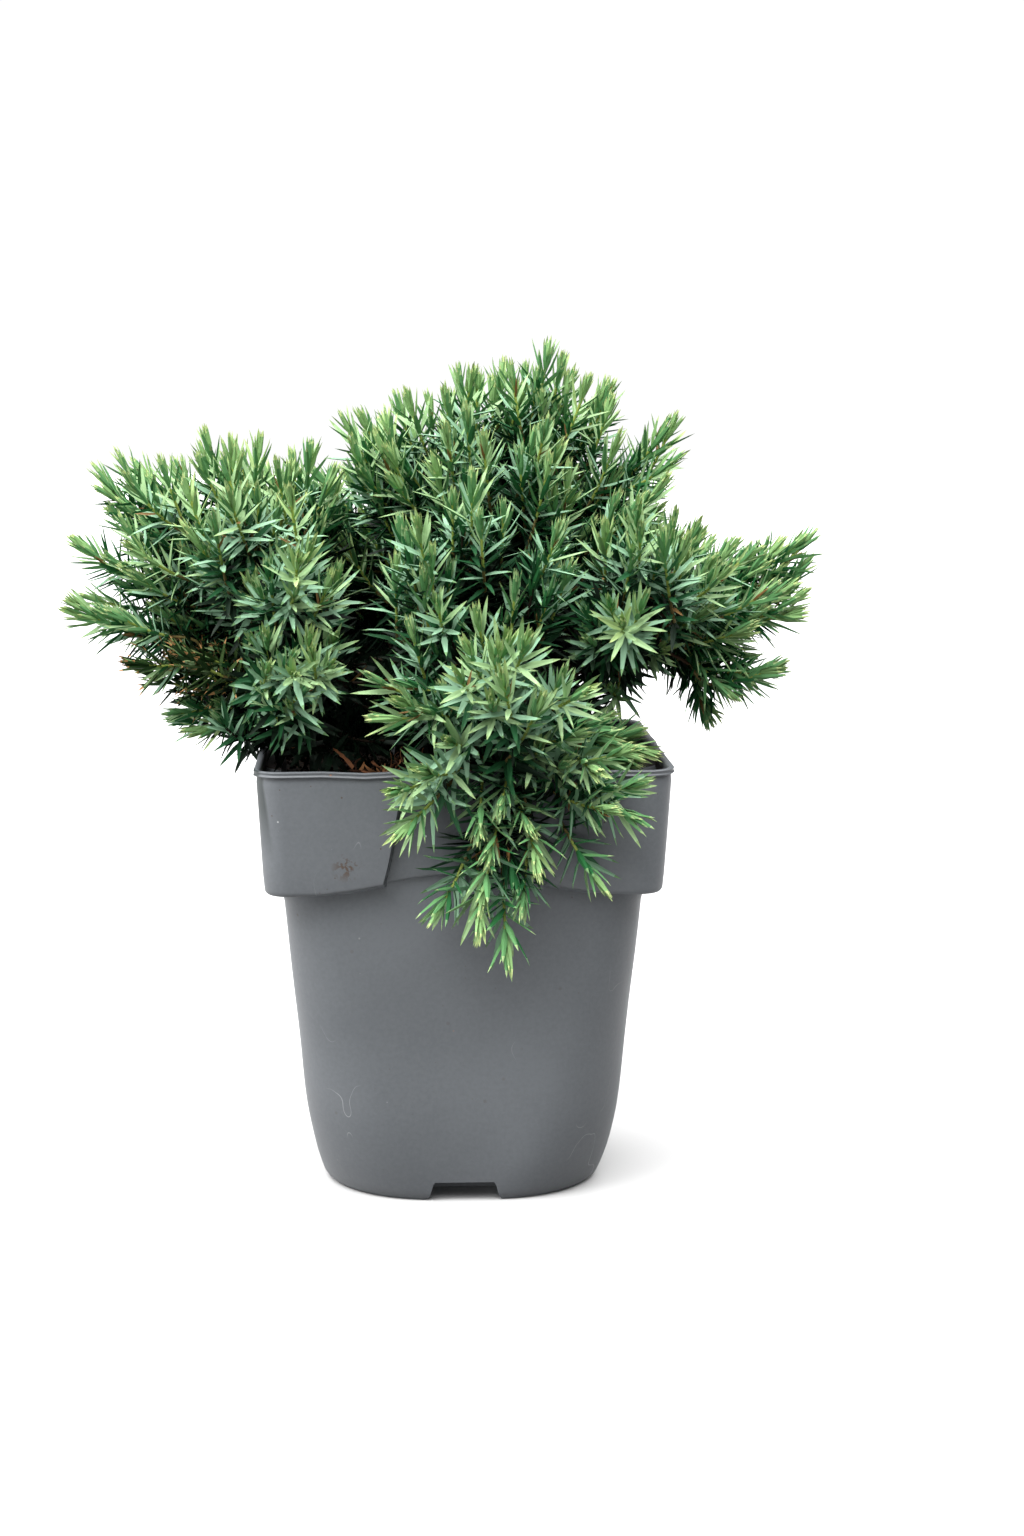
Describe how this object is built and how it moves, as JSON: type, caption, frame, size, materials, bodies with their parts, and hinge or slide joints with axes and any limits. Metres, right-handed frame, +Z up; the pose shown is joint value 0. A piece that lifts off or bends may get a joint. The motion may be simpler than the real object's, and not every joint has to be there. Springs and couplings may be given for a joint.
{
  "type": "potted dwarf juniper",
  "caption": "Low mounded blue-green conifer with short sharp needles, hanging over the front of a square grey nursery pot with a deep collar and foot notches.",
  "frame": {"origin": "the middle of the pot's flat underside, on the pot's upright axis", "axes": "+Z up; -Y towards the front, where a spray hangs over the rim; +X to the right as seen from the front"},
  "size_m": [0.1987, 0.1629, 0.2218],
  "materials": {
    "grey_plastic": "matte",
    "soil": "matte",
    "bark": "matte",
    "needles": "matte"
  },
  "bodies": {
    "root": {"bough_back_left": "bark", "bough_back_right": "bark", "bough_front": "bark", "bough_left_high": "bark", "bough_left_low": "bark", "bough_right_high": "bark", "bough_right_low": "bark", "bough_top_left": "bark", "bough_top_right": "bark", "foliage_back_high_left": "needles", "foliage_back_high_right": "needles", "foliage_back_left_high": "needles", "foliage_back_left_low": "needles", "foliage_back_left_mid": "needles", "foliage_back_low": "needles", "foliage_back_mid": "needles", "foliage_back_right_high": "needles", "foliage_back_right_low": "needles", "foliage_back_right_mid": "needles", "foliage_front_droop": "needles", "foliage_front_droop_left": "needles", "foliage_front_droop_right": "needles", "foliage_front_heart": "needles", "foliage_front_over": "needles", "foliage_front_rim_left": "needles", "foliage_left_brown": "needles", "foliage_left_crest": "needles", "foliage_left_crest_near": "needles", "foliage_left_front_high": "needles", "foliage_left_front_low": "needles", "foliage_left_front_mid": "needles", "foliage_left_high": "needles", "foliage_left_low": "needles", "foliage_left_low_tip": "needles", "foliage_left_mid_tip": "needles", "foliage_middle_left": "needles", "foliage_middle_low_left": "needles", "foliage_middle_right": "needles", "foliage_middle_top": "needles", "foliage_right_front": "needles", "foliage_right_front_low": "needles", "foliage_right_hang": "needles", "foliage_right_low": "needles", "foliage_right_rim": "needles", "foliage_right_shoulder": "needles", "foliage_right_side_front": "needles", "foliage_right_tip": "needles", "foliage_right_tip_low": "needles", "foliage_top_front": "needles", "foliage_top_front_left": "needles", "foliage_top_front_right": "needles", "foliage_top_left": "needles", "foliage_top_left_mid": "needles", "foliage_top_peak": "needles", "foliage_top_right": "needles", "foliage_top_right_high": "needles", "foliage_top_right_mid": "needles", "pot": "grey_plastic", "soil": "soil", "trunk": "bark"}
  },
  "joints": []
}
